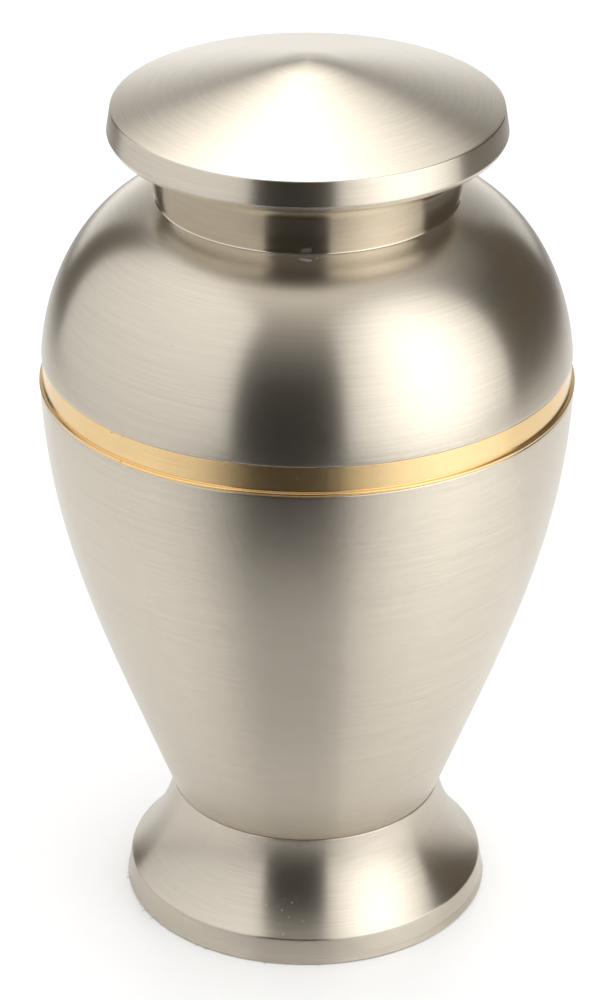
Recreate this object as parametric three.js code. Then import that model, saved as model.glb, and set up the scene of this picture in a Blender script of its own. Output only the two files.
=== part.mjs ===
// A cremation urn of spun and plated brass, turned about its upright axis.
// Millimetres, +Z up, with the origin at the centre of the underside.
import * as THREE from "three";

// Sizes that several pieces share
const WALL = 2;
const FIT = 0.3;
const BODY_RADIUS = 75;
const SIDES = 48;
const EDGE_STEPS = 2;

// Felt in the recess under the foot
const FELT_THICKNESS = 1;

// Foot: a conical band below, then a flare that bends in to the waist. The foot stands a hair clear of
// the ground, and a flange inside it holds the felt.
const FOOT_RADIUS = 53.5;
const FOOT_CLEARANCE = 0.2;
const FOOT_BAND_HEIGHT = 7.7;
const FLANGE_WIDTH = 6;
const FOOT_BAND_LEAN = 1.3;
const FOOT_EDGE_ROUND = 0.8;
const FLARE_HEIGHT = 25.9;
const FLARE_TOP_ANGLE = 8;
const WAIST_RADIUS = 39.3;
const FLARE_STEPS = 6;

// Lower body: from the waist up to the widest part of the urn
const LOWER_HEIGHT = 130.9;
const LOWER_PROUD = 0.8;
const LOWER_WAIST_ANGLE = 21;
const LOWER_TOP_ANGLE = 1.8;
const LOWER_WAIST_PULL = 56;
const LOWER_TOP_PULL = 46;
const LOWER_STEPS = 9;
const SPIGOT_DEPTH = 4;

// Brass band with a proud lip along its lower edge
const BAND_HEIGHT = 8.1;
const LIP_HEIGHT = 0.8;
const LIP_PROUD = 1;

// Shoulder: a dome with a sleeve that drops behind the band
const DOME_HEIGHT = 47.6;
const DOME_PROUD = 0.3;
const DOME_TOP_ANGLE = 15;
const DOME_SIDE_ANGLE = 4.3;
const DOME_TOP_PULL = 19;
const DOME_SIDE_PULL = 23.5;
const DOME_STEPS = 8;
const SLEEVE_DEPTH = 7;

// Neck ring: it flares like a trumpet, to an edge that carries the lid
const NECK_RADIUS = 42.4;
const NECK_TOP_RADIUS = 52.7;
const NECK_FLARE_HEIGHT = 18.5;
const NECK_EDGE_HEIGHT = 1.5;
const NECK_BASE_ANGLE = 12;
const NECK_TOP_ANGLE = 62;
const NECK_BASE_PULL = 12;
const NECK_TOP_PULL = 8;
const NECK_STEPS = 5;
const NECK_DEPTH = 4.5;

// Lid
const CONE_HEIGHT = 14.1;
const TIP_RADIUS = 12;
const LID_EDGE_RADIUS = 54.6;
const LID_EDGE_ROUND = 0.5;
const RIM_HEIGHT = 6.9;
const RIM_LEAN = 1.05;
const RIM_BEVEL_HEIGHT = 1.7;
const RIM_BEVEL_INSET = 0.6;
const RIM_OVERHANG = 2.6;
const SEAT_WIDTH = 2.1;
const COLLAR_DEPTH = 12;

// Heights of the joints, worked out from the floor up
const footBottom = FOOT_CLEARANCE;
const footEdge = footBottom + FOOT_BAND_HEIGHT;
const footTop = footEdge + FLARE_HEIGHT;
const lowerBottom = footTop + FIT;
const lowerTop = lowerBottom + LOWER_HEIGHT;
const bandBottom = lowerTop + FIT;
const bandTop = bandBottom + BAND_HEIGHT;
const domeBottom = bandTop + FIT;
const domeTop = domeBottom + DOME_HEIGHT;
const neckTop = domeTop + NECK_FLARE_HEIGHT + NECK_EDGE_HEIGHT;
const seatHeight = neckTop + FIT;
const lidBottom = seatHeight - RIM_OVERHANG;

// A pair of radius and height, as one point of a profile
const at = (radius, height) => new THREE.Vector2(radius, height);
const radians = THREE.MathUtils.degToRad;

// Points along a curve from start to end. Each end leaves at its angle from the upright, with a pull
// that says how far the curve keeps to that direction.
function sweep(start, startAngle, startPull, end, endAngle, endPull, steps) {
  const away = (angle, pull) => at(Math.sin(radians(angle)) * pull, Math.cos(radians(angle)) * pull);
  const first = start.clone().add(away(startAngle, startPull));
  const second = end.clone().sub(away(endAngle, endPull));
  return new THREE.CubicBezierCurve(start, first, second, end).getPoints(steps);
}

// The arc that leaves start at one angle from the upright and reaches end
function arcBetween(start, startAngle, end, steps) {
  const chord = end.clone().sub(start);
  const chordAngle = Math.atan2(chord.x, -chord.y);
  const turn = 2 * (chordAngle - radians(startAngle));
  const radius = chord.length() / (2 * Math.sin(turn / 2));
  const points = [];
  for (let step = 0; step <= steps; step += 1) {
    const angle = radians(startAngle) + (turn * step) / steps;
    points.push(at(
      start.x + radius * (Math.cos(radians(startAngle)) - Math.cos(angle)),
      start.y - radius * (Math.sin(angle) - Math.sin(radians(startAngle))),
    ));
  }
  return points;
}

// The same line moved sideways by a wall's thickness, to the left of its direction
function offset(points, distance) {
  return points.map((point, index) => {
    const before = points[Math.max(index - 1, 0)];
    const after = points[Math.min(index + 1, points.length - 1)];
    const along = after.clone().sub(before).normalize();
    return at(point.x - along.y * distance, point.y + along.x * distance);
  });
}

// A corner of a profile, rounded by a short curve
function rounded(before, corner, after, radius) {
  const start = corner.clone().add(before.clone().sub(corner).setLength(radius));
  const end = corner.clone().add(after.clone().sub(corner).setLength(radius));
  return new THREE.QuadraticBezierCurve(start, corner, end).getPoints(EDGE_STEPS);
}

// Where a profile crosses a value of one coordinate ("x" or "y"): the other coordinate there
function crossing(points, coordinate, value) {
  const other = coordinate === "x" ? "y" : "x";
  for (let index = 1; index < points.length; index += 1) {
    const from = points[index - 1];
    const to = points[index];
    if ((from[coordinate] - value) * (to[coordinate] - value) <= 0) {
      const share = (value - from[coordinate]) / (to[coordinate] - from[coordinate]);
      return from[other] + (to[other] - from[other]) * share;
    }
  }
  return points[points.length - 1][other];
}

const group = new THREE.Group();

// A turned piece: the profile is spun about the upright axis and closed on itself
function turned(name, profile, material) {
  const closed = profile[0].x > 0 ? [...profile, profile[0].clone()] : profile;
  const geometry = new THREE.LatheGeometry(closed, SIDES).rotateX(Math.PI / 2);
  const mesh = new THREE.Mesh(geometry, material);
  mesh.name = name;
  group.add(mesh);
}

const pewter = () => new THREE.MeshStandardMaterial({ color: 0xbdb5a6, roughness: 0.35, metalness: 1 });
const brass = () => new THREE.MeshStandardMaterial({ color: 0xe0b060, roughness: 0.35, metalness: 1 });
const felt = () => new THREE.MeshStandardMaterial({ color: 0x5a4638, roughness: 1, metalness: 0 });

// Felt disc
const recessRadius = FOOT_RADIUS - WALL;
const feltRadius = recessRadius - FIT;
turned("felt_pad", [at(0, 0), at(feltRadius, 0), at(feltRadius, FELT_THICKNESS), at(0, FELT_THICKNESS)], felt());

// Foot: the outer side runs down from the waist, the inner side follows it one wall further in and
// ends on the flange
const waistOuter = at(WAIST_RADIUS, footTop);
const edgeCorner = at(FOOT_RADIUS - FOOT_BAND_LEAN, footEdge);
const baseCorner = at(FOOT_RADIUS, footBottom);
const flare = arcBetween(waistOuter, FLARE_TOP_ANGLE, edgeCorner, FLARE_STEPS);
const flareInner = offset([...flare, baseCorner], -WALL);
const flangeUnder = FELT_THICKNESS + FIT;
const flangeTop = flangeUnder + WALL;
const insideFlare = flareInner.slice(1, -1).filter((point) => point.y > flangeTop + WALL);
turned("foot", [
  baseCorner,
  ...rounded(baseCorner, edgeCorner, flare[flare.length - 2], FOOT_EDGE_ROUND),
  ...flare.slice(0, -1).reverse(),
  at(WAIST_RADIUS - WALL, footTop),
  ...insideFlare,
  at(recessRadius - FIT, flangeTop),
  at(recessRadius - FLANGE_WIDTH, flangeTop),
  at(recessRadius - FLANGE_WIDTH, flangeUnder),
  at(recessRadius, flangeUnder),
  at(recessRadius, footBottom),
], pewter());

// Lower body: a closed bottom on a short spigot that drops into the foot
const throatRadius = WAIST_RADIUS - WALL;
const spigotRadius = throatRadius - FIT;
const spigotBottom = footTop - SPIGOT_DEPTH;
const lowerOuter = sweep(
  at(WAIST_RADIUS, lowerBottom), LOWER_WAIST_ANGLE, LOWER_WAIST_PULL,
  at(BODY_RADIUS + LOWER_PROUD, lowerTop), LOWER_TOP_ANGLE, LOWER_TOP_PULL, LOWER_STEPS,
);
const lowerInner = offset(lowerOuter, WALL);
lowerInner[lowerInner.length - 1].y = lowerTop;
turned("lower_shell", [
  at(0, spigotBottom),
  at(spigotRadius, spigotBottom),
  at(spigotRadius, lowerBottom),
  ...lowerOuter,
  ...[...lowerInner].reverse(),
  at(spigotRadius - WALL, spigotBottom + WALL),
  at(0, spigotBottom + WALL),
], pewter());

// Brass band: it fits over the sleeve that joins the two halves of the body
const sleeveBottom = bandBottom - SLEEVE_DEPTH;
const sleeveOuter = crossing(lowerInner, "y", sleeveBottom) - FIT;
const sleeveSpace = sleeveOuter + FIT;
const lipRadius = BODY_RADIUS + LIP_PROUD;
turned("brass_band", [
  at(sleeveSpace, bandBottom),
  at(lipRadius - LIP_HEIGHT / 2, bandBottom),
  at(lipRadius, bandBottom + LIP_HEIGHT / 2),
  at(lipRadius - LIP_HEIGHT / 2, bandBottom + LIP_HEIGHT),
  at(BODY_RADIUS, bandBottom + LIP_HEIGHT),
  at(BODY_RADIUS, bandTop),
  at(sleeveSpace, bandTop),
], brass());

// Shoulder: the dome, with the sleeve that passes down behind the band into the lower body
const mouthRadius = NECK_RADIUS + FIT;
const domeOuter = sweep(
  at(BODY_RADIUS + DOME_PROUD, domeBottom), -DOME_SIDE_ANGLE, DOME_SIDE_PULL,
  at(mouthRadius, domeTop), DOME_TOP_ANGLE - 90, DOME_TOP_PULL, DOME_STEPS,
);
const domeInner = offset(domeOuter, WALL);
const mouthUnder = at(mouthRadius, crossing(domeInner, "x", mouthRadius));
const insideMouth = domeInner.filter((point) => point.x > mouthRadius + FIT && point.y > domeBottom + WALL);
turned("shoulder_shell", [
  at(sleeveOuter, sleeveBottom),
  at(sleeveOuter, domeBottom),
  ...domeOuter,
  mouthUnder,
  ...insideMouth.reverse(),
  at(sleeveOuter - WALL, domeBottom),
  at(sleeveOuter - WALL, sleeveBottom),
], pewter());

// Neck ring: it stands in the mouth of the dome, reaches a little way inside and flares above it
const neckBottom = mouthUnder.y - NECK_DEPTH;
const neckOuter = [
  at(NECK_RADIUS, neckBottom),
  ...sweep(
    at(NECK_RADIUS, domeTop), NECK_BASE_ANGLE, NECK_BASE_PULL,
    at(NECK_TOP_RADIUS, domeTop + NECK_FLARE_HEIGHT), NECK_TOP_ANGLE, NECK_TOP_PULL, NECK_STEPS,
  ),
];
const neckInner = offset(neckOuter, WALL);
neckInner[neckInner.length - 1].y = neckTop;
turned("neck_ring", [
  ...neckOuter,
  at(NECK_TOP_RADIUS, neckTop),
  ...[...neckInner].reverse(),
], pewter());

// Lid: a cone with a rim outside, and inside it the seat and the collar that drops into the neck
const collarRadius = NECK_RADIUS - WALL - FIT;
const rimBottomRadius = LID_EDGE_RADIUS + RIM_LEAN - RIM_BEVEL_INSET;
const rimBore = rimBottomRadius - WALL;
const seatRadius = rimBore - SEAT_WIDTH;
const rimCorner = at(LID_EDGE_RADIUS + RIM_LEAN, lidBottom + RIM_BEVEL_HEIGHT);
const lidCorner = at(LID_EDGE_RADIUS, rimCorner.y + RIM_HEIGHT);
const coneSlope = CONE_HEIGHT / LID_EDGE_RADIUS;
const coneAt = (radius) => at(radius, lidCorner.y + CONE_HEIGHT - radius * coneSlope);
const wallUp = WALL * Math.hypot(1, coneSlope);
const underCone = (radius) => at(radius, coneAt(radius).y - wallUp);
const tip = coneAt(TIP_RADIUS);
turned("lid", [
  at(rimBore, lidBottom),
  at(rimBottomRadius, lidBottom),
  rimCorner,
  ...rounded(rimCorner, lidCorner, tip, LID_EDGE_ROUND),
  tip,
  at(0, tip.y + TIP_RADIUS * coneSlope / 2),
  underCone(0),
  underCone(collarRadius - WALL),
  at(collarRadius - WALL, seatHeight - COLLAR_DEPTH),
  at(collarRadius, seatHeight - COLLAR_DEPTH),
  underCone(collarRadius),
  underCone(seatRadius),
  at(seatRadius, seatHeight),
  at(rimBore, seatHeight),
], pewter());

export default group;
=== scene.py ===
import math
from functools import partial

import bpy
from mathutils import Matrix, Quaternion, Vector


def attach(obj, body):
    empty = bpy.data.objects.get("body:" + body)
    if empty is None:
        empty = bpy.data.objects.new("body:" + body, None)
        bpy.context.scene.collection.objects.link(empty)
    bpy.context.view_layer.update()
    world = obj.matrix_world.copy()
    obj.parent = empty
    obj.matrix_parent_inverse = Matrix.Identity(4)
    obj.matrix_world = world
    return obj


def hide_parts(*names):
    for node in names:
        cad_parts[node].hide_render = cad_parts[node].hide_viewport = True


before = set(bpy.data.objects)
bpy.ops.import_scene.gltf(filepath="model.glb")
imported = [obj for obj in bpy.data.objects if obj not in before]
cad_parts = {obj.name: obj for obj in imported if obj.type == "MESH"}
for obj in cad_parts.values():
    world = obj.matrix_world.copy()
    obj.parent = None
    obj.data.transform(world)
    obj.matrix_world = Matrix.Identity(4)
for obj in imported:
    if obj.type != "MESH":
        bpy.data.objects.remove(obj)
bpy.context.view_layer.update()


# Lower shell. The tapered lower half of the body, with its closed bottom and a short spigot that sits
# in the foot. It is spun from sheet brass, plated the colour of pewter and brushed on the lathe, so the
# brushing runs round it. Its top edge is rolled over a little, and takes the light.

# The sizes of turned pieces are in millimetres, as radius and height.
wall = 2.0
small_roll = 0.25
spigot_radius = 37.0
spigot_bottom = 29.8
waist_radius = 39.3
lower_bottom = 34.1
lower_top = 165.15
lower_top_radius = 75.8
pewter_colour = (0.595, 0.542, 0.456, 1.0)
pewter_roughness = 0.26


def leaning(angle):
    """A step of one up a profile that leans outwards by an angle from the upright."""
    return Vector((math.sin(math.radians(angle)), math.cos(math.radians(angle))))


def bend(start, start_angle, start_pull, end, end_angle, end_pull, steps):
    """Points (radius, height) on a curve that leaves each end at an angle from the upright."""
    start, end = Vector(start), Vector(end)
    first = start + start_pull * leaning(start_angle)
    second = end - end_pull * leaning(end_angle)
    points = []
    for step in range(steps + 1):
        t = step / steps
        u = 1 - t
        points.append(u ** 3 * start + 3 * u * u * t * first + 3 * u * t * t * second + t ** 3 * end)
    return points


def inside(points, thickness):
    """The same line on the inner side of the wall."""
    moved = []
    for index, point in enumerate(points):
        before = points[max(index - 1, 0)]
        after = points[min(index + 1, len(points) - 1)]
        along = (after - before).normalized()
        moved.append(point + thickness * Vector((-along.y, along.x)))
    return moved


def rolled(before, corner, after, radius, steps=5):
    """A corner of a profile, rolled over to a small radius."""
    before, corner, after = Vector(before), Vector(corner), Vector(after)
    one = (before - corner).normalized()
    two = (after - corner).normalized()
    half = one.angle(two) / 2
    reach = radius / math.tan(half)
    centre = corner + (one + two).normalized() * radius / math.sin(half)
    first = corner + one * reach - centre
    last = corner + two * reach - centre
    sweep = first.angle_signed(last)
    points = []
    for step in range(steps + 1):
        angle = -sweep * step / steps
        points.append(centre + Vector((
            first.x * math.cos(angle) - first.y * math.sin(angle),
            first.x * math.sin(angle) + first.y * math.cos(angle),
        )))
    return points


def drawn(points, step=3.0, near=0.12):
    """The profile with more points: close to each corner, and then every few millimetres."""
    points = [Vector(point) for point in points]
    full = [points[0]]
    for start, end in zip(points, points[1:]):
        length = (end - start).length
        if length > 4 * near:
            edge = near / length
            inner = int(length / step)
            shares = [edge, 1 - edge]
            shares += [edge + (1 - 2 * edge) * (k + 1) / (inner + 1) for k in range(inner)]
            full += [start.lerp(end, share) for share in sorted(shares)]
        full.append(end)
    return full


def maths(tree, operation, first, second=None):
    """The result of a math node in a tree, from numbers or from what other nodes put out."""
    node = tree.nodes.new("ShaderNodeMath")
    node.operation = operation
    for socket, value in zip(node.inputs, (first, second)):
        if isinstance(value, (int, float)):
            socket.default_value = value
        elif value is not None:
            tree.links.new(value, socket)
    return node.outputs[0]


def lathe_tree():
    """Nodes that turn a line of points, radius along X and height along Z, round the upright axis."""
    merge_within = 2e-6
    tree = bpy.data.node_groups.new("turned_wall", "GeometryNodeTree")
    tree.interface.new_socket("Profile", in_out="INPUT", socket_type="NodeSocketGeometry")
    tree.interface.new_socket("Facets", in_out="INPUT", socket_type="NodeSocketInt")
    tree.interface.new_socket("Finish", in_out="INPUT", socket_type="NodeSocketMaterial")
    tree.interface.new_socket("Wall", in_out="OUTPUT", socket_type="NodeSocketGeometry")
    nodes, links = tree.nodes, tree.links
    math_node = partial(maths, tree)
    inputs = nodes.new("NodeGroupInput").outputs
    count = nodes.new("GeometryNodeAttributeDomainSize")
    links.new(inputs["Profile"], count.inputs["Geometry"])
    grid = nodes.new("GeometryNodeMeshGrid")
    links.new(math_node("ADD", inputs["Facets"], 1), grid.inputs["Vertices X"])
    links.new(count.outputs["Point Count"], grid.inputs["Vertices Y"])
    index = nodes.new("GeometryNodeInputIndex").outputs[0]
    height = count.outputs["Point Count"]
    column = math_node("FLOOR", math_node("DIVIDE", math_node("ADD", index, 0.5), height))
    row = math_node("SUBTRACT", index, math_node("MULTIPLY", column, height))
    point = nodes.new("GeometryNodeSampleIndex")
    point.data_type = "FLOAT_VECTOR"
    links.new(inputs["Profile"], point.inputs["Geometry"])
    links.new(nodes.new("GeometryNodeInputPosition").outputs[0], point.inputs["Value"])
    links.new(row, point.inputs["Index"])
    parts = nodes.new("ShaderNodeSeparateXYZ")
    links.new(point.outputs[0], parts.inputs[0])
    angle = math_node("MULTIPLY", math_node("DIVIDE", column, inputs["Facets"]), 2 * math.pi)
    place = nodes.new("ShaderNodeCombineXYZ")
    links.new(math_node("MULTIPLY", parts.outputs["X"], math_node("COSINE", angle)), place.inputs["X"])
    links.new(math_node("MULTIPLY", parts.outputs["X"], math_node("SINE", angle)), place.inputs["Y"])
    links.new(parts.outputs["Z"], place.inputs["Z"])
    turned = nodes.new("GeometryNodeSetPosition")
    links.new(grid.outputs["Mesh"], turned.inputs["Geometry"])
    links.new(place.outputs[0], turned.inputs["Position"])
    joined = nodes.new("GeometryNodeMergeByDistance")
    joined.inputs["Distance"].default_value = merge_within
    smooth = nodes.new("GeometryNodeSetShadeSmooth")
    real = nodes.new("GeometryNodeRealizeInstances")
    finish = nodes.new("GeometryNodeSetMaterial")
    chain = [turned, joined, smooth, real, finish, nodes.new("NodeGroupOutput")]
    for before, after in zip(chain, chain[1:]):
        links.new(before.outputs[0], after.inputs[0])
    links.new(inputs["Finish"], finish.inputs["Material"])
    return tree


turning = lathe_tree()


def made_by_nodes(name, mesh, tree, values):
    """A plain mesh object from what a node tree makes of a mesh, given values for its named inputs."""
    working = bpy.data.objects.new(name, mesh)
    bpy.context.scene.collection.objects.link(working)
    modifier = working.modifiers.new("nodes", "NODES")
    modifier.node_group = tree
    known = {item.name: item.identifier for item in tree.interface.items_tree if item.in_out == "INPUT"}
    for label, value in values.items():
        modifier[known[label]] = value
    evaluated = working.evaluated_get(bpy.context.evaluated_depsgraph_get())
    result = bpy.data.meshes.new_from_object(evaluated)
    result.name = name
    bpy.data.objects.remove(working)
    piece = bpy.data.objects.new(name, result)
    bpy.context.scene.collection.objects.link(piece)
    return piece


def turn(name, profile, finish, facets=192):
    """A turned piece from a closed profile in mm, counter-clockwise with the outside on the right."""
    sharp_from = math.radians(35)
    line = [Vector((point[0] / 1000, 0, point[1] / 1000)) for point in profile]
    if profile[0][0] > 0:
        line.append(line[0].copy())
    mesh = bpy.data.meshes.new(name)
    mesh.from_pydata(line, [(k, k + 1) for k in range(len(line) - 1)], [])
    piece = made_by_nodes(name, mesh, turning, {"Facets": facets, "Finish": finish})
    piece.data.set_sharp_from_angle(angle=sharp_from)
    return piece


def brushing_group():
    """Brushing from the lathe: fine lines of lighter and darker tone round the axis."""
    group = bpy.data.node_groups.new("lathe_brushing", "ShaderNodeTree")
    for label in ("Lean", "Lines per mm", "Lines per turn"):
        group.interface.new_socket(label, in_out="INPUT", socket_type="NodeSocketFloat")
    group.interface.new_socket("Lines", in_out="OUTPUT", socket_type="NodeSocketFloat")
    nodes, links = group.nodes, group.links
    math_node = partial(maths, group)
    inputs = nodes.new("NodeGroupInput").outputs
    outputs = nodes.new("NodeGroupOutput").inputs
    smallest_radius = 0.0005
    place = nodes.new("ShaderNodeSeparateXYZ")
    links.new(nodes.new("ShaderNodeTexCoord").outputs["Object"], place.inputs[0])
    x, y, z = place.outputs
    radius = math_node("SQRT", math_node("ADD", math_node("MULTIPLY", x, x), math_node("MULTIPLY", y, y)))
    safe = math_node("MAXIMUM", radius, smallest_radius)
    along = math_node("ADD", z, math_node("MULTIPLY", radius, inputs["Lean"]))
    lines_up = math_node("MULTIPLY", math_node("MULTIPLY", along, 1000), inputs["Lines per mm"])

    def streaks(turns, fineness, detail):
        spot = nodes.new("ShaderNodeCombineXYZ")
        links.new(math_node("MULTIPLY", math_node("DIVIDE", x, safe), turns), spot.inputs["X"])
        links.new(math_node("MULTIPLY", math_node("DIVIDE", y, safe), turns), spot.inputs["Y"])
        links.new(math_node("MULTIPLY", lines_up, fineness), spot.inputs["Z"])
        noise = nodes.new("ShaderNodeTexNoise")
        noise.inputs["Scale"].default_value = 1.0
        noise.inputs["Detail"].default_value = detail
        noise.inputs["Roughness"].default_value = 0.6
        links.new(spot.outputs[0], noise.inputs["Vector"])
        return noise.outputs["Fac"]

    long_turns = math_node("MULTIPLY", inputs["Lines per turn"], 0.16)
    short_turns = math_node("MULTIPLY", inputs["Lines per turn"], 0.9)
    long_lines = math_node("MULTIPLY", streaks(long_turns, fineness=1.0, detail=2.0), 0.6)
    short_lines = math_node("MULTIPLY", streaks(short_turns, fineness=0.7, detail=1.0), 0.4)
    links.new(math_node("ADD", long_lines, short_lines), outputs["Lines"])
    return group


brushing = brushing_group()


def brushed_metal(name, colour, lean, roughness):
    """Plated or bare brass with lathe brushing. Lean is +1 where the wall widens upwards, else -1."""
    tone_span = 0.11
    material = bpy.data.materials.new(name)
    material.use_nodes = True
    nodes, links = material.node_tree.nodes, material.node_tree.links
    shader = nodes["Principled BSDF"]
    shader.inputs["Metallic"].default_value = 1.0
    shader.inputs["Roughness"].default_value = roughness
    shader.inputs["Anisotropic"].default_value = 0.6
    shader.inputs["Anisotropic Rotation"].default_value = 0.25
    grain = nodes.new("ShaderNodeGroup")
    grain.node_tree = brushing
    grain.inputs["Lean"].default_value = lean
    grain.inputs["Lines per mm"].default_value = 1.5
    grain.inputs["Lines per turn"].default_value = 5.0
    tint = nodes.new("ShaderNodeMix")
    tint.data_type = "RGBA"
    tint.inputs["A"].default_value = [part * (1 - tone_span) for part in colour[:3]] + [1]
    tint.inputs["B"].default_value = [min(part * (1 + tone_span), 1) for part in colour[:3]] + [1]
    links.new(grain.outputs["Lines"], tint.inputs["Factor"])
    links.new(tint.outputs["Result"], shader.inputs["Base Color"])
    return material


def marked(material, colour, marks):
    """Small round marks on a metal: dust, nicks or solder. Each is a bearing in degrees from the front,
    a radius, a height and a size in millimetres."""
    nodes, links = material.node_tree.nodes, material.node_tree.links
    math_node = partial(maths, material.node_tree)
    shader = nodes["Principled BSDF"]
    place = nodes.new("ShaderNodeTexCoord").outputs["Object"]
    mask = None
    for bearing, radius, height, size in marks:
        turned_by = math.radians(bearing)
        spot = nodes.new("ShaderNodeVectorMath")
        spot.operation = "DISTANCE"
        spot.inputs[1].default_value = (
            radius * math.sin(turned_by) / 1000, -radius * math.cos(turned_by) / 1000, height / 1000)
        links.new(place, spot.inputs[0])
        near = math_node("LESS_THAN", spot.outputs["Value"], size / 1000)
        mask = math_node("MAXIMUM", mask, near) if mask else near
    laid = nodes.new("ShaderNodeMix")
    laid.data_type = "RGBA"
    laid.inputs["B"].default_value = colour
    links.new(mask, laid.inputs["Factor"])
    links.new(shader.inputs["Base Color"].links[0].from_socket, laid.inputs["A"])
    links.new(laid.outputs["Result"], shader.inputs["Base Color"])
    links.new(math_node("SUBTRACT", 1.0, mask), shader.inputs["Metallic"])


lower_outer = bend(
    start=(waist_radius, lower_bottom), start_angle=21, start_pull=56,
    end=(lower_top_radius, lower_top), end_angle=1.8, end_pull=46, steps=60)
lower_inner = inside(lower_outer, wall)
lower_inner[-1].y = lower_top
lower_profile = (
    drawn([(0, spigot_bottom), (spigot_radius, spigot_bottom), (spigot_radius, lower_bottom)])
    + rolled((spigot_radius, lower_bottom), (waist_radius, lower_bottom), lower_outer[1], small_roll)
    + lower_outer[1:-1]
    + rolled(lower_outer[-2], lower_outer[-1], (lower_top_radius - wall, lower_top), radius=0.55, steps=7)
    + drawn(lower_inner[::-1] + [(spigot_radius - wall, spigot_bottom + wall), (0, spigot_bottom + wall)])
)
pewter_body = brushed_metal("pewter_body", pewter_colour, 1.0, pewter_roughness)
lower_shell = turn("lower_shell_spun", lower_profile, pewter_body)
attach(lower_shell, "root")
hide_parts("lower_shell")


# Foot. A spun foot in the same plated brass, a flare above a short conical band, open below. A flange
# inside it holds the felt. It is soldered to the bottom of the lower shell, where a thin dark seam shows.
foot_radius = 53.5
foot_bottom = 0.34
foot_top = 33.9
foot_edge = (52.2, 7.9)
foot_mouth_radius = 51.5
foot_throat_radius = 37.3
flange_radius = 45.5
flange_bottom = 1.3
flange_top = 3.3
dust_colour = (0.36, 0.34, 0.31, 1)
dust = (
    (-7.1, 51.1, 9.0, 0.2), (-8.3, 46.8, 14.4, 0.16), (-5.7, 47.9, 12.9, 0.13), (-4.9, 45.5, 16.4, 0.16),
    (-0.8, 48.5, 12.1, 0.12), (-14.3, 46.3, 15.2, 0.14), (-13.0, 44.4, 18.3, 0.12),
    (-7.6, 44.9, 17.4, 0.1), (-3.1, 44.8, 17.6, 0.1), (80.0, 50.9, 9.2, 0.2))


def flare_arc(start, start_angle, end, steps):
    """The arc that leaves start downwards at an angle from the upright and reaches end."""
    start, end = Vector(start), Vector(end)
    chord = end - start
    begin = math.radians(start_angle)
    swing = 2 * (math.atan2(chord.x, -chord.y) - begin)
    radius = chord.length / (2 * math.sin(swing / 2))
    points = []
    for step in range(steps + 1):
        angle = begin + swing * step / steps
        outwards = math.cos(begin) - math.cos(angle)
        downwards = math.sin(begin) - math.sin(angle)
        points.append(start + radius * Vector((outwards, downwards)))
    return points


flare = flare_arc((waist_radius, foot_top), 8, foot_edge, 32)
flare_inner = [point for point in inside(flare, -wall) if point.y > 5.5]
foot_profile = (
    rolled((foot_mouth_radius, foot_bottom), (foot_radius, foot_bottom), flare[-1], 0.2)
    + drawn([(53.36, 0.9), (52.36, 7.1)])
    + rolled((foot_radius, foot_bottom), flare[-1], flare[-3], radius=1.1, steps=8)
    + flare[-3:0:-1]
    + rolled(flare[1], flare[0], (foot_throat_radius, foot_top), small_roll)
    + drawn([(foot_throat_radius, foot_top)] + flare_inner[1:] + [
        (51.2, flange_top), (flange_radius, flange_top), (flange_radius, flange_bottom),
        (foot_mouth_radius, flange_bottom), (foot_mouth_radius, foot_bottom)])
)
pewter_flare = brushed_metal("pewter_flare", pewter_colour, -1.0, pewter_roughness)
marked(pewter_flare, dust_colour, dust)
foot = turn("foot_spun", foot_profile, pewter_flare)
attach(foot, "root")
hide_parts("foot")


# Felt pad. A disc of brown wool felt, glued under the foot and pressed out a little below its rim. It is a
# thin dark line on the ground, with loose fibres standing out of it here and there.
felt_radius = 53.0
felt_thickness = 1.0
felt_profile = [
    (0, 0), (52.85, 0), (felt_radius, 0.12), (52.8, 0.28),
    (51.25, 0.3), (51.2, 0.6), (50.9, felt_thickness), (0, felt_thickness)]

# The fibres' sizes are in metres: how far from the axis they start, how they bend, and half their thickness.
fibre_root = 0.0508
fibre_bend = ((0, 0, 0), (0.0024, 0, 0), (0.003, 0.0006, 0.0001))
fibre_radius = 0.00004


def felt_finish():
    """Matted wool: short fibres in every direction, a little lighter at their tips."""
    material = bpy.data.materials.new("brown_wool_felt")
    material.use_nodes = True
    nodes, links = material.node_tree.nodes, material.node_tree.links
    shader = nodes["Principled BSDF"]
    shader.inputs["Roughness"].default_value = 0.95
    shader.inputs["Sheen Weight"].default_value = 0.3
    place = nodes.new("ShaderNodeTexCoord")
    matted = nodes.new("ShaderNodeTexNoise")
    matted.inputs["Scale"].default_value = 1400
    matted.inputs["Detail"].default_value = 6
    links.new(place.outputs["Object"], matted.inputs["Vector"])
    colours = nodes.new("ShaderNodeValToRGB")
    colours.color_ramp.elements[0].position = 0.3
    colours.color_ramp.elements[0].color = (0.05, 0.032, 0.022, 1)
    colours.color_ramp.elements[1].position = 0.7
    colours.color_ramp.elements[1].color = (0.16, 0.11, 0.075, 1)
    links.new(matted.outputs["Fac"], colours.inputs["Fac"])
    links.new(colours.outputs["Color"], shader.inputs["Base Color"])
    bump = nodes.new("ShaderNodeBump")
    bump.inputs["Distance"].default_value = 0.0003
    links.new(matted.outputs["Fac"], bump.inputs["Height"])
    links.new(bump.outputs["Normal"], shader.inputs["Normal"])
    return material


wool_felt = felt_finish()
felt_pad = turn("felt_pad_disc", drawn(felt_profile, step=4.0), wool_felt, facets=128)
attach(felt_pad, "root")
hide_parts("felt_pad")


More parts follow.
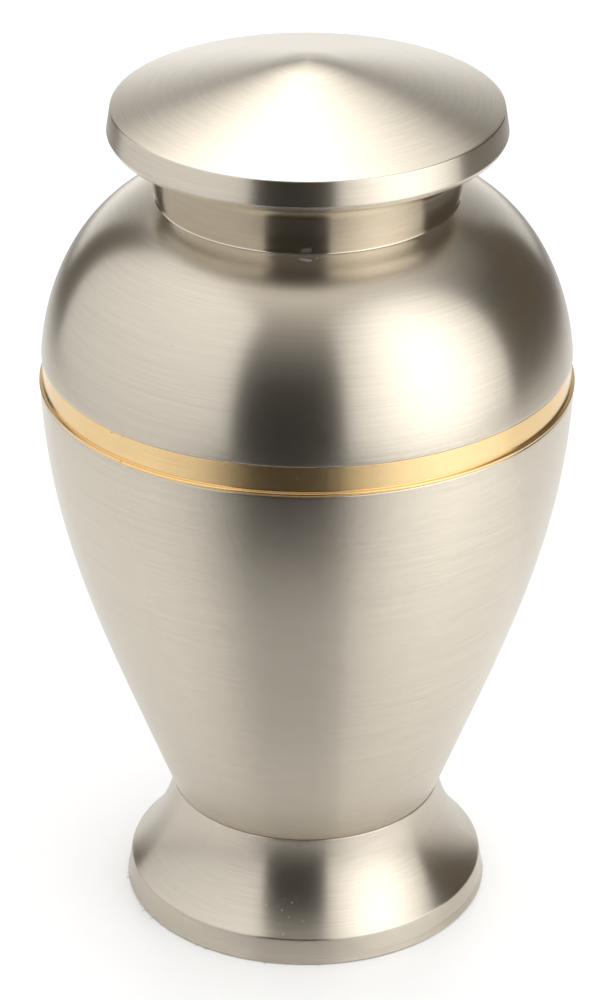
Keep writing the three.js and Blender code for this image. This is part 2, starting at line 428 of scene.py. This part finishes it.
def fibre_tree():
    """Nodes that lay loose fibres under the rim of the foot, with their tips outside it."""
    tree = bpy.data.node_groups.new("loose_fibres", "GeometryNodeTree")
    for label in ("Fibres", "Seed"):
        tree.interface.new_socket(label, in_out="INPUT", socket_type="NodeSocketInt")
    tree.interface.new_socket("Finish", in_out="INPUT", socket_type="NodeSocketMaterial")
    tree.interface.new_socket("Wool", in_out="OUTPUT", socket_type="NodeSocketGeometry")
    nodes, links = tree.nodes, tree.links
    math_node = partial(maths, tree)
    inputs = nodes.new("NodeGroupInput").outputs

    def chance(low, high, salt):
        node = nodes.new("FunctionNodeRandomValue")
        node.data_type = "FLOAT"
        node.inputs[2].default_value = low
        node.inputs[3].default_value = high
        links.new(math_node("ADD", inputs["Seed"], salt), node.inputs["Seed"])
        return node.outputs[1]

    line = nodes.new("GeometryNodeMeshLine")
    line.inputs["Offset"].default_value = (0, 0, 0)
    links.new(inputs["Fibres"], line.inputs["Count"])
    angle = chance(0, 2 * math.pi, 1)
    place = nodes.new("ShaderNodeCombineXYZ")
    links.new(math_node("MULTIPLY", math_node("COSINE", angle), fibre_root), place.inputs["X"])
    links.new(math_node("MULTIPLY", math_node("SINE", angle), fibre_root), place.inputs["Y"])
    place.inputs["Z"].default_value = 0.0001
    spread = nodes.new("GeometryNodeSetPosition")
    links.new(line.outputs["Mesh"], spread.inputs["Geometry"])
    links.new(place.outputs[0], spread.inputs["Position"])
    fibre = nodes.new("GeometryNodeCurveQuadraticBezier")
    fibre.inputs["Resolution"].default_value = 8
    for label, point in zip(("Start", "Middle", "End"), fibre_bend):
        fibre.inputs[label].default_value = point
    heading = nodes.new("ShaderNodeCombineXYZ")
    links.new(math_node("ADD", angle, chance(-0.35, 0.35, 2)), heading.inputs["Z"])
    laid = nodes.new("GeometryNodeInstanceOnPoints")
    links.new(spread.outputs[0], laid.inputs["Points"])
    links.new(fibre.outputs[0], laid.inputs["Instance"])
    links.new(heading.outputs[0], laid.inputs["Rotation"])
    links.new(chance(0.85, 1.25, 3), laid.inputs["Scale"])
    loose = nodes.new("GeometryNodeRealizeInstances")
    links.new(laid.outputs[0], loose.inputs[0])
    ring = nodes.new("GeometryNodeCurvePrimitiveCircle")
    ring.inputs["Resolution"].default_value = 5
    ring.inputs["Radius"].default_value = fibre_radius
    wool = nodes.new("GeometryNodeCurveToMesh")
    links.new(loose.outputs[0], wool.inputs["Curve"])
    links.new(ring.outputs["Curve"], wool.inputs["Profile Curve"])
    real = nodes.new("GeometryNodeRealizeInstances")
    links.new(wool.outputs[0], real.inputs[0])
    finish = nodes.new("GeometryNodeSetMaterial")
    links.new(real.outputs[0], finish.inputs["Geometry"])
    links.new(inputs["Finish"], finish.inputs["Material"])
    links.new(finish.outputs[0], nodes.new("NodeGroupOutput").inputs[0])
    return tree


felt_fibres = made_by_nodes(
    "felt_fibres", bpy.data.meshes.new("felt_fibres"), fibre_tree(),
    {"Fibres": 34, "Seed": 4, "Finish": wool_felt})
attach(felt_fibres, "root")


# Brass band. A plain turned ring of bare brass between the two halves of the body, with a small proud
# lip along its lower edge. It is brushed like the body and lacquered, and pushed on over the sleeve.
band_bottom = 165.2
band_top = 173.45
band_radius = 75.0
band_inner_radius = 73.4
lip_radius = 76.0
lip_top = 166.05
brass_colour = (0.83, 0.605, 0.315, 1.0)
nick_colour = (0.2, 0.13, 0.07, 1)
nicks = (
    (-45.0, band_radius, 172.9, 0.25), (-42.0, band_radius, 173.0, 0.2),
    (-41.8, lip_radius, 165.8, 0.25), (-1.9, band_radius, 170.4, 0.14))
band_profile = (
    drawn([(band_inner_radius, band_top), (band_inner_radius, band_bottom), (75.6, band_bottom)])
    + rolled((75.6, band_bottom), (lip_radius, band_bottom), (lip_radius, 165.7), radius=0.3, steps=4)
    + rolled((lip_radius, 165.6), (lip_radius, 165.95), (75.6, lip_top), radius=0.28, steps=4)
    + rolled((75.5, lip_top), (band_radius, lip_top), (band_radius, 166.6), radius=0.15, steps=3)
    + drawn([(band_radius, 166.5), (band_radius, 173.2)])
    + rolled((band_radius, 173.0), (band_radius, band_top), (74.5, band_top), radius=0.15, steps=3)
)
band_metal = brushed_metal("satin_brass_band", brass_colour, -1.0, 0.21)
marked(band_metal, nick_colour, nicks)
brass_band = turn("brass_band_ring", band_profile, band_metal)
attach(brass_band, "root")
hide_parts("brass_band")


# Shoulder shell. The spun dome in the same plated brass, open at the neck, with a sleeve that passes
# down behind the band into the lower shell. Its lower edge stands a hair proud of the band.
sleeve_radius = 73.1
sleeve_bottom = 158.3
dome_radius = 75.3
dome_bottom = 173.6
dome_top = 221.3
mouth_radius = 42.75
solder_colour = (0.2, 0.2, 0.205, 1)
solder = (
    (-2.3, 44.4, 220.86, 0.38), (-1.4, 44.6, 220.8, 0.5), (-0.5, 44.7, 220.78, 0.55),
    (0.4, 44.8, 220.75, 0.5), (1.2, 45.0, 220.7, 0.4), (0.1, 45.3, 220.61, 0.3),
    (2.9, 44.3, 220.88, 0.22), (3.6, 44.1, 220.93, 0.26), (4.9, 44.0, 220.96, 0.18),
    (2.6, 45.9, 220.44, 0.16))
dome_nicks = ((-8.5, dome_radius, 173.9, 0.12), (-32.5, 67.4, 200.8, 0.16))
dome_outer = bend(
    start=(dome_radius, dome_bottom), start_angle=-4.3, start_pull=23.5,
    end=(mouth_radius, dome_top), end_angle=-75, end_pull=19, steps=60)
dome_inner = [
    point for point in inside(dome_outer, wall) if point.x > 43.2 and point.y > dome_bottom + wall]
shoulder_profile = (
    drawn([(sleeve_radius, sleeve_bottom), (sleeve_radius, dome_bottom)])
    + rolled((sleeve_radius, dome_bottom), dome_outer[0], dome_outer[1], 0.3)
    + dome_outer[1:]
    + drawn([dome_outer[-1], (mouth_radius, 219.2)] + dome_inner[::-1] + [
        (sleeve_radius - wall, dome_bottom), (sleeve_radius - wall, sleeve_bottom)])
)
pewter_dome = brushed_metal("pewter_dome", pewter_colour, -1.0, pewter_roughness)
marked(pewter_dome, solder_colour, solder + dome_nicks)
shoulder_shell = turn("shoulder_shell_spun", shoulder_profile, pewter_dome)
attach(shoulder_shell, "root")
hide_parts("shoulder_shell")


# Neck ring. A short plated ring that stands in the mouth of the dome and flares like a trumpet to an edge
# under the lid. It is soldered all round from outside, and the solder shows as a thin pale line.
neck_radius = 42.4
neck_bottom = 214.7
neck_top = 241.3
neck_turn = (45.3, 232.6)
neck_top_radius = 52.7
solder_bead = [(43.15, 221.12), (42.9, 221.2), (42.7, 221.35), (42.58, 221.5)]
neck_outer = (
    bend(
        start=(42.55, 221.7), start_angle=12, start_pull=7,
        end=neck_turn, end_angle=18, end_pull=3, steps=16)
    + bend(
        start=neck_turn, start_angle=18, start_pull=3.5,
        end=(neck_top_radius, 239.8), end_angle=62, end_pull=4, steps=16)[1:]
)
neck_inner = inside(neck_outer, wall)
neck_inner[-1].y = neck_top
neck_profile = (
    drawn([
        (neck_radius - wall, 221.0), (neck_radius - wall, neck_bottom),
        (neck_radius, neck_bottom), (neck_radius, 221.0)])
    + [Vector(point) for point in solder_bead]
    + neck_outer
    + rolled(neck_outer[-1], (neck_top_radius, neck_top), (51.2, neck_top), radius=0.2, steps=3)
    + neck_inner[:0:-1]
)
pewter_neck = brushed_metal("pewter_neck", pewter_colour, -1.0, 0.14)
neck_ring = turn("neck_ring_flared", neck_profile, pewter_neck)
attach(neck_ring, "root")
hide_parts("neck_ring")


# Lid. One spun piece, a shallow cone over a straight rim with a small bevel along its lower edge, and
# inside it a collar that drops into the neck. It lifts off: nothing but its weight holds it.
rim_bottom = 239.0
rim_corner = (55.65, 240.7)
lid_corner = (54.6, 247.6)
cone_height = 14.1
cone_bulge = 2.2
lid_seat = 241.6
rim_inner_radius = 53.05
under_radius = 50.9
collar_inner_radius = 38.1
collar_outer_radius = 40.1
collar_bottom = 229.6
crown_radius = 10


def cone_at(radius):
    """The point of the lid's outside at a radius. The cone bulges by half a millimetre."""
    share = radius / lid_corner[0]
    return Vector((radius, lid_corner[1] + cone_height * (1 - share) + cone_bulge * share * (1 - share)))


under_drop = wall * math.hypot(1, cone_height / lid_corner[0])


def under_cone(radius):
    """The point of the cone's underside at a radius, a wall's thickness in."""
    return cone_at(radius) - Vector((0, under_drop))


crown_slope = cone_at(crown_radius - 0.5).y - cone_at(crown_radius + 0.5).y
cone_points = [cone_at(radius) for radius in (50, 45, 40, 35, 30, 25, 20, 17, 15, 13, 11)]
crown_start = cone_at(crown_radius).y
crown = [
    Vector((radius, crown_start + crown_slope * (crown_radius - radius * radius / crown_radius) / 2))
    for radius in range(crown_radius, -1, -1)
]
lid_profile = (
    [Vector((rim_inner_radius, rim_bottom))]
    + rolled((rim_inner_radius, rim_bottom), (54.75, rim_bottom), rim_corner, radius=0.25, steps=4)
    + rolled((54.75, rim_bottom), rim_corner, lid_corner, radius=0.3, steps=4)
    + drawn([(55.6, 241.1), (54.67, 247.15)])
    + rolled(rim_corner, lid_corner, cone_at(50), radius=0.5, steps=6)
    + drawn([cone_at(53.6)] + cone_points)
    + crown
    + drawn([
        (0, cone_at(0).y - under_drop - 1.5), (6, cone_at(6).y - under_drop - 0.5),
        under_cone(collar_inner_radius),
        (collar_inner_radius, collar_bottom), (collar_outer_radius, collar_bottom),
        under_cone(collar_outer_radius), under_cone(under_radius),
        (under_radius, lid_seat), (rim_inner_radius, lid_seat), (rim_inner_radius, rim_bottom)])
)
lid = turn("lid_spun", lid_profile[:-1], pewter_dome)
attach(lid, "root")
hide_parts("lid")


# The table. A plain pale surface that the urn stands on, wide enough to fill every view.
def flat_card(name, corners, finish):
    """A flat four-cornered card."""
    mesh = bpy.data.meshes.new(name)
    mesh.from_pydata([Vector(corner) for corner in corners], [], [(0, 1, 2, 3)])
    mesh.materials.append(finish)
    card = bpy.data.objects.new(name, mesh)
    bpy.context.scene.collection.objects.link(card)
    return card


def level(low_x, high_x, low_y, high_y, height):
    """The four corners of a level card."""
    return [
        (low_x, low_y, height), (high_x, low_y, height), (high_x, high_y, height), (low_x, high_y, height)]


table_reach = 4
paper = bpy.data.materials.new("pale_paper")
paper.use_nodes = True
paper_shader = paper.node_tree.nodes["Principled BSDF"]
paper_shader.inputs["Base Color"].default_value = (0.93, 0.93, 0.93, 1)
paper_shader.inputs["Roughness"].default_value = 0.22
flat_card("table", level(-table_reach, table_reach, -table_reach, table_reach, 0), paper)


# The studio. Two tall soft lights stand in front of the urn at its left and right, and a third hangs
# behind and above it, under a ceiling that glows with painted light. A pale card behind the urn glows with
# painted light too. Dark sheets of painted shade lie on the table and stand between the front lights, where
# the table and the room in front are darker. None of them shows in the picture: the urn mirrors them.
def glow(name, strength, centre, reach, tall=1.0, colour=(1, 1, 1, 1), over=False):
    """Light from a card, brightest at a centre and at half its strength at the reach, more upwards if tall.
    Light that lies over another surface is added to it."""
    material = bpy.data.materials.new(name)
    material.use_nodes = True
    nodes, links = material.node_tree.nodes, material.node_tree.links
    nodes.remove(nodes["Principled BSDF"])
    light = nodes.new("ShaderNodeEmission")
    light.inputs["Color"].default_value = colour
    links.new(light.outputs[0], nodes["Material Output"].inputs["Surface"])
    math_node = partial(maths, material.node_tree)
    place = nodes.new("ShaderNodeTexCoord").outputs["Object"]
    stretch = (reach, reach, reach * tall)
    for operation, value in (("SUBTRACT", centre), ("DIVIDE", stretch), ("LENGTH", None)):
        away = nodes.new("ShaderNodeVectorMath")
        away.operation = operation
        links.new(place, away.inputs[0])
        if value:
            away.inputs[1].default_value = value
        place = away.outputs[0]
    fading = math_node("ADD", math_node("POWER", away.outputs["Value"], 2.0), 1.0)
    links.new(math_node("DIVIDE", strength, fading), light.inputs["Strength"])
    if over:
        both = nodes.new("ShaderNodeAddShader")
        links.new(nodes.new("ShaderNodeBsdfTransparent").outputs[0], both.inputs[0])
        links.new(light.outputs[0], both.inputs[1])
        links.new(both.outputs[0], nodes["Material Output"].inputs["Surface"])
    return material


def upright_card(name, from_bearing, to_bearing, distance, low, high, finish):
    """A standing card between two bearings from the urn. Bearing 0 is the camera's side, 90 is +X."""
    ends = []
    for bearing in (from_bearing, to_bearing):
        turned_by = math.radians(bearing)
        ends.append((distance * math.sin(turned_by), -distance * math.cos(turned_by)))
    (x0, y0), (x1, y1) = ends
    return flat_card(name, [(x0, y0, low), (x0, y0, high), (x1, y1, high), (x1, y1, low)], finish)


# The studio's sizes are in metres.
front_lights_distance = 0.75
front_lights_bottom = 0.02
ceiling_height = 1.5
left_light = upright_card(
    "left_soft_light", -30, -128, front_lights_distance, front_lights_bottom, 1.3,
    glow("left_glow", strength=1.34, centre=(-0.45, -0.3, 1.0), reach=1.5))
right_light = upright_card(
    "right_soft_light", 15, 91, front_lights_distance, front_lights_bottom, 1.4,
    glow(
        "right_glow", strength=2.4, centre=(0.488, -0.355, 0.45), reach=0.4, tall=2.3,
        colour=(1, 0.995, 0.99, 1)))
overhead = flat_card(
    "overhead_soft_light",
    [(-0.6, -0.05, 1.28), (0.6, -0.05, 1.28), (0.3, 1.04, 0.84), (-0.55, 1.04, 0.84)],
    glow("overhead_glow", strength=3.1, centre=(-0.08, 0.44, 1.08), reach=0.42, colour=(1, 0.99, 0.97, 1)))
# The ceiling and the card behind the urn glow with painted light, brightest at a centre.
ceiling = flat_card(
    "ceiling", level(-3, 3, -4, 1.5, ceiling_height),
    glow(
        "ceiling_glow", strength=1.25, centre=(0, 0.1, ceiling_height), reach=0.8,
        colour=(1, 0.97, 0.92, 1)))
back_card = upright_card(
    "back_card", 147, 213, 1.6, 0.0, 1.05,
    glow("back_glow", strength=1.6, centre=(-0.1, 1.4, 0), reach=0.9, tall=0.68))


def dark_surface(name, colour, stops, sides=()):
    """Painted shade: a surface that shows only as dark in the metal. It covers more or less with the
    distance from the axis, and, if there are sides, less towards the left and right of the front."""
    material = bpy.data.materials.new(name)
    material.use_nodes = True
    nodes, links = material.node_tree.nodes, material.node_tree.links
    shader = nodes["Principled BSDF"]
    shader.inputs["Base Color"].default_value = colour
    shader.inputs["Roughness"].default_value = 1.0
    math_node = partial(maths, material.node_tree)
    place = nodes.new("ShaderNodeTexCoord").outputs["Object"]

    def ramp(value, levels):
        node = nodes.new("ShaderNodeValToRGB")
        for index, (position, share) in enumerate(levels):
            known = node.color_ramp.elements
            stop = known[index] if index < 2 else known.new(position)
            stop.position = position
            stop.color = (share, share, share, 1)
        links.new(value, node.inputs["Fac"])
        return node.outputs["Color"]

    flat = nodes.new("ShaderNodeVectorMath")
    flat.operation = "MULTIPLY"
    flat.inputs[1].default_value = (1, 1, 0)
    links.new(place, flat.inputs[0])
    away = nodes.new("ShaderNodeVectorMath")
    away.operation = "LENGTH"
    links.new(flat.outputs[0], away.inputs[0])
    cover = ramp(away.outputs["Value"], stops)
    if sides:
        middle = 0.14
        widest = 3.0
        parts = nodes.new("ShaderNodeSeparateXYZ")
        links.new(place, parts.inputs[0])
        aside = math_node("DIVIDE", parts.outputs["X"], parts.outputs["Y"])
        aside = math_node("ABSOLUTE", math_node("SUBTRACT", aside, middle))
        cover = math_node("MULTIPLY", cover, ramp(math_node("DIVIDE", aside, widest), sides))
    laid = nodes.new("ShaderNodeMixShader")
    links.new(cover, laid.inputs[0])
    links.new(nodes.new("ShaderNodeBsdfTransparent").outputs[0], laid.inputs[1])
    links.new(shader.outputs[0], laid.inputs[2])
    links.new(laid.outputs[0], nodes["Material Output"].inputs["Surface"])
    return material


# Painted shade: dark sheets, seen only in the metal, darken the table in front of the urn. They are lightest
# near the foot, darkest far out and straight ahead, and stand up across the front.
painted_shade_colour = (0.015, 0.0125, 0.01, 1)
front_shade_cover = (
    (0.055, 0.0), (0.075, 0.25), (0.1, 0.42), (0.16, 0.47), (0.2, 0.62),
    (0.23, 0.74), (0.25, 0.83), (0.275, 0.94), (0.3, 0.99))
front_shade_sides = (
    (0.0, 1.0), (0.08, 0.97), (0.14, 0.72), (0.19, 0.5),
    (0.25, 0.28), (0.32, 0.15), (0.44, 0.07), (0.6, 0.0))
# Painted shade on the table around the urn, seen only in the metal: a little darker near it and much darker
# far out.
table_shade_cover = ((0.0, 0.12), (0.42, 0.12), (0.95, 1.0))
front_shade_flat = flat_card(
    "front_painted_shade_flat", [(-1, -0.04, 0.002), (-1, -0.72, 0.002), (0.8, -0.72, 0.002), (0.8, -0.04, 0.002)],
    dark_surface("front_painted_shade_thinning", painted_shade_colour, front_shade_cover, front_shade_sides))
# An upright sheet of painted shade across the front.
front_shade_upright = flat_card(
    "front_painted_shade_upright", [(-0.45, -0.72, 0.0), (-0.45, -0.72, 0.5), (0.24, -0.72, 0.5), (0.24, -0.72, 0.0)],
    dark_surface("front_painted_shade", painted_shade_colour, front_shade_cover))
# The table's painted shade, a sheet lying just over it.
far_table_shade = flat_card(
    "table_painted_shade", level(-table_reach, table_reach, -table_reach, table_reach, 0.001),
    dark_surface("table_painted_shade", (0.1, 0.085, 0.07, 1), table_shade_cover))
pool = flat_card(
    "light_on_table", [(0.02, -0.05, 0.003), (0.17, -0.62, 0.003), (0.66, -0.1, 0.003), (0.1, 0.1, 0.003)],
    glow(
        "table_glow", strength=0.3, centre=(0.28, -0.22, 0), reach=0.2,
        colour=(1, 0.99, 0.975, 1), over=True))

# These show in the metal, and neither light nor shade anything.
only_mirrored = (ceiling, back_card, front_shade_flat, front_shade_upright, far_table_shade, pool)
for card in only_mirrored:
    card.visible_diffuse = False
    card.visible_shadow = False
for card in (left_light, right_light, overhead) + only_mirrored:
    card.visible_camera = False

world = bpy.data.worlds.new("studio_room")
bpy.context.scene.world = world
world.use_nodes = True
room = world.node_tree.nodes
room_links = world.node_tree.links
path = room.new("ShaderNodeLightPath")
lit = room["Background"]
for ray, colour in (("Is Diffuse Ray", (1.3, 1.3, 1.3, 1)), ("Is Camera Ray", (1, 1, 1, 1))):
    seen = room.new("ShaderNodeBackground")
    seen.inputs["Color"].default_value = colour
    either = room.new("ShaderNodeMixShader")
    room_links.new(path.outputs[ray], either.inputs[0])
    room_links.new(lit.outputs[0], either.inputs[1])
    room_links.new(seen.outputs[0], either.inputs[2])
    lit = either
room["Background"].inputs["Color"].default_value = (0.13, 0.11, 0.085, 1)
room_links.new(lit.outputs[0], room["World Output"].inputs["Surface"])


# The camera. It stands 1.07 m in front of the axis and 0.68 m up, and looks down at the urn's middle.
camera_place = (0.00025, -1.07163, 0.68112)
look_down = math.radians(27.439)
camera_roll = math.radians(0.188)
camera_data = bpy.data.cameras.new("camera")
camera_data.sensor_width = 36
camera_data.lens = 150.6
camera_data.clip_start = 0.01
camera_data.shift_x = -0.0005
camera_data.shift_y = 0.0005
camera = bpy.data.objects.new("camera", camera_data)
bpy.context.scene.collection.objects.link(camera)
camera.location = camera_place
look = Vector((0, math.cos(look_down), -math.sin(look_down))).to_track_quat("-Z", "Y")
camera.rotation_mode = "QUATERNION"
camera.rotation_quaternion = look @ Quaternion((0, 0, 1), camera_roll)
bpy.context.scene.camera = camera
bpy.context.scene.view_settings.view_transform = "Standard"
bpy.context.scene.view_settings.look = "None"

bpy.context.view_layer.update()
